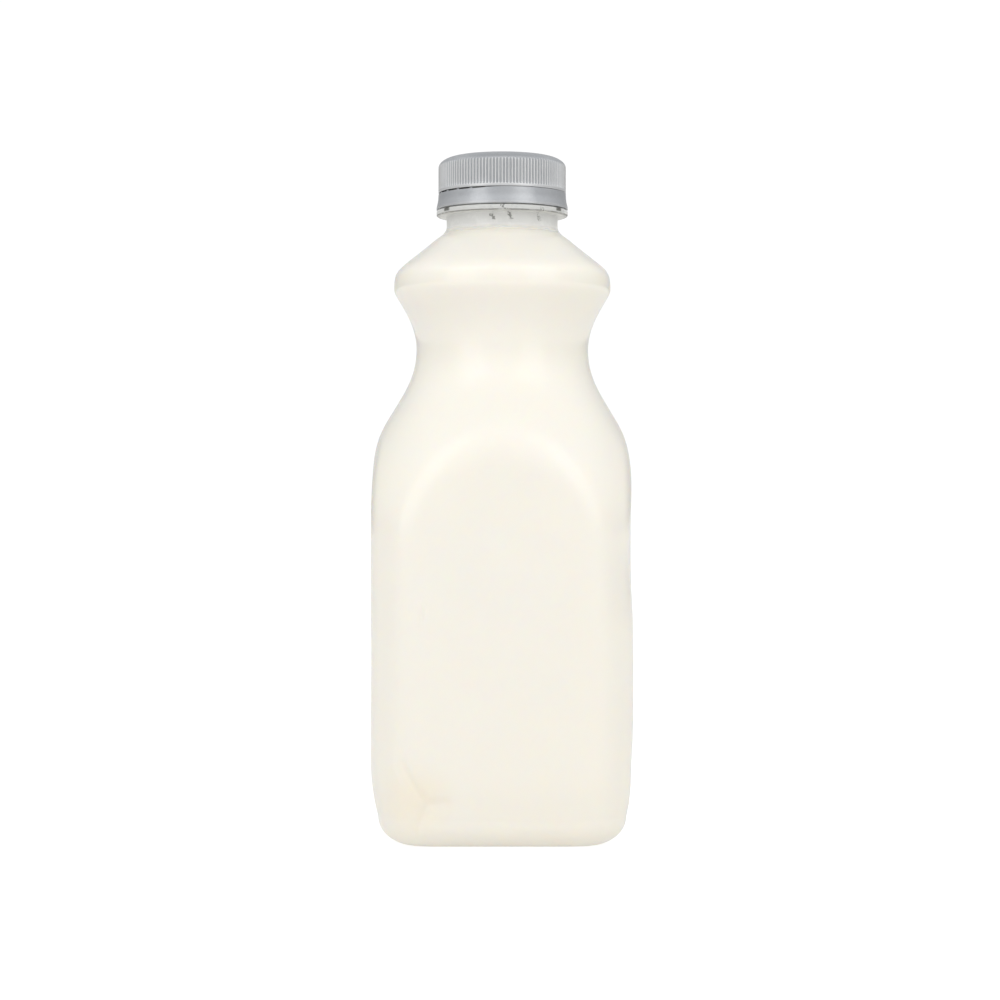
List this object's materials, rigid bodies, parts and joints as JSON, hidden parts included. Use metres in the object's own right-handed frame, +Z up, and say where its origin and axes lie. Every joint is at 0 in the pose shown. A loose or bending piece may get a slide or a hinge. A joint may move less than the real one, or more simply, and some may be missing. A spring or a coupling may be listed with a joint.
{
  "type": "milk bottle",
  "caption": "Square clear plastic milk bottle with arched flat faces, pinched waist and round collar, full of milk, closed by a ribbed silver screw cap with a tear band.",
  "frame": {"origin": "middle of the standing ring, on the surface that the bottle stands on", "axes": "+Z up along the bottle's axis to the cap; the four flat faces look along +X, -X, +Y and -Y, all alike; -Y is the front"},
  "size_m": [0.0834, 0.0834, 0.2205],
  "materials": {
    "bottle_plastic": "gloss",
    "milk": "satin",
    "cap_plastic": "satin",
    "band_plastic": "gloss",
    "liner_foam": "matte"
  },
  "bodies": {
    "bottle": {"bottle": "bottle_plastic", "milk": "milk"},
    "cap_seal": {"cap_liner": "liner_foam"},
    "cap": {"screw_cap": "cap_plastic"},
    "band": {"tamper_band": "band_plastic"}
  },
  "joints": [
    {"name": "cap_rise", "type": "slide", "parent": "bottle", "child": "cap_seal", "axis": [0, 0, 1], "range_m": [0, 0.01109]},
    {"name": "cap_turn", "type": "hinge", "parent": "cap_seal", "child": "cap", "pos_m": [0, 0, 0.2088], "axis": [0, 0, 1], "range_deg": [0, 420]},
    {"name": "band_spin", "type": "hinge", "parent": "bottle", "child": "band", "pos_m": [0, 0, 0.2033], "axis": [0, 0, 1], "continuous": true}
  ],
  "couplings": [
    {"joint": "cap_rise", "follows": "cap_turn", "m_per_rad": 0.001512}
  ]
}
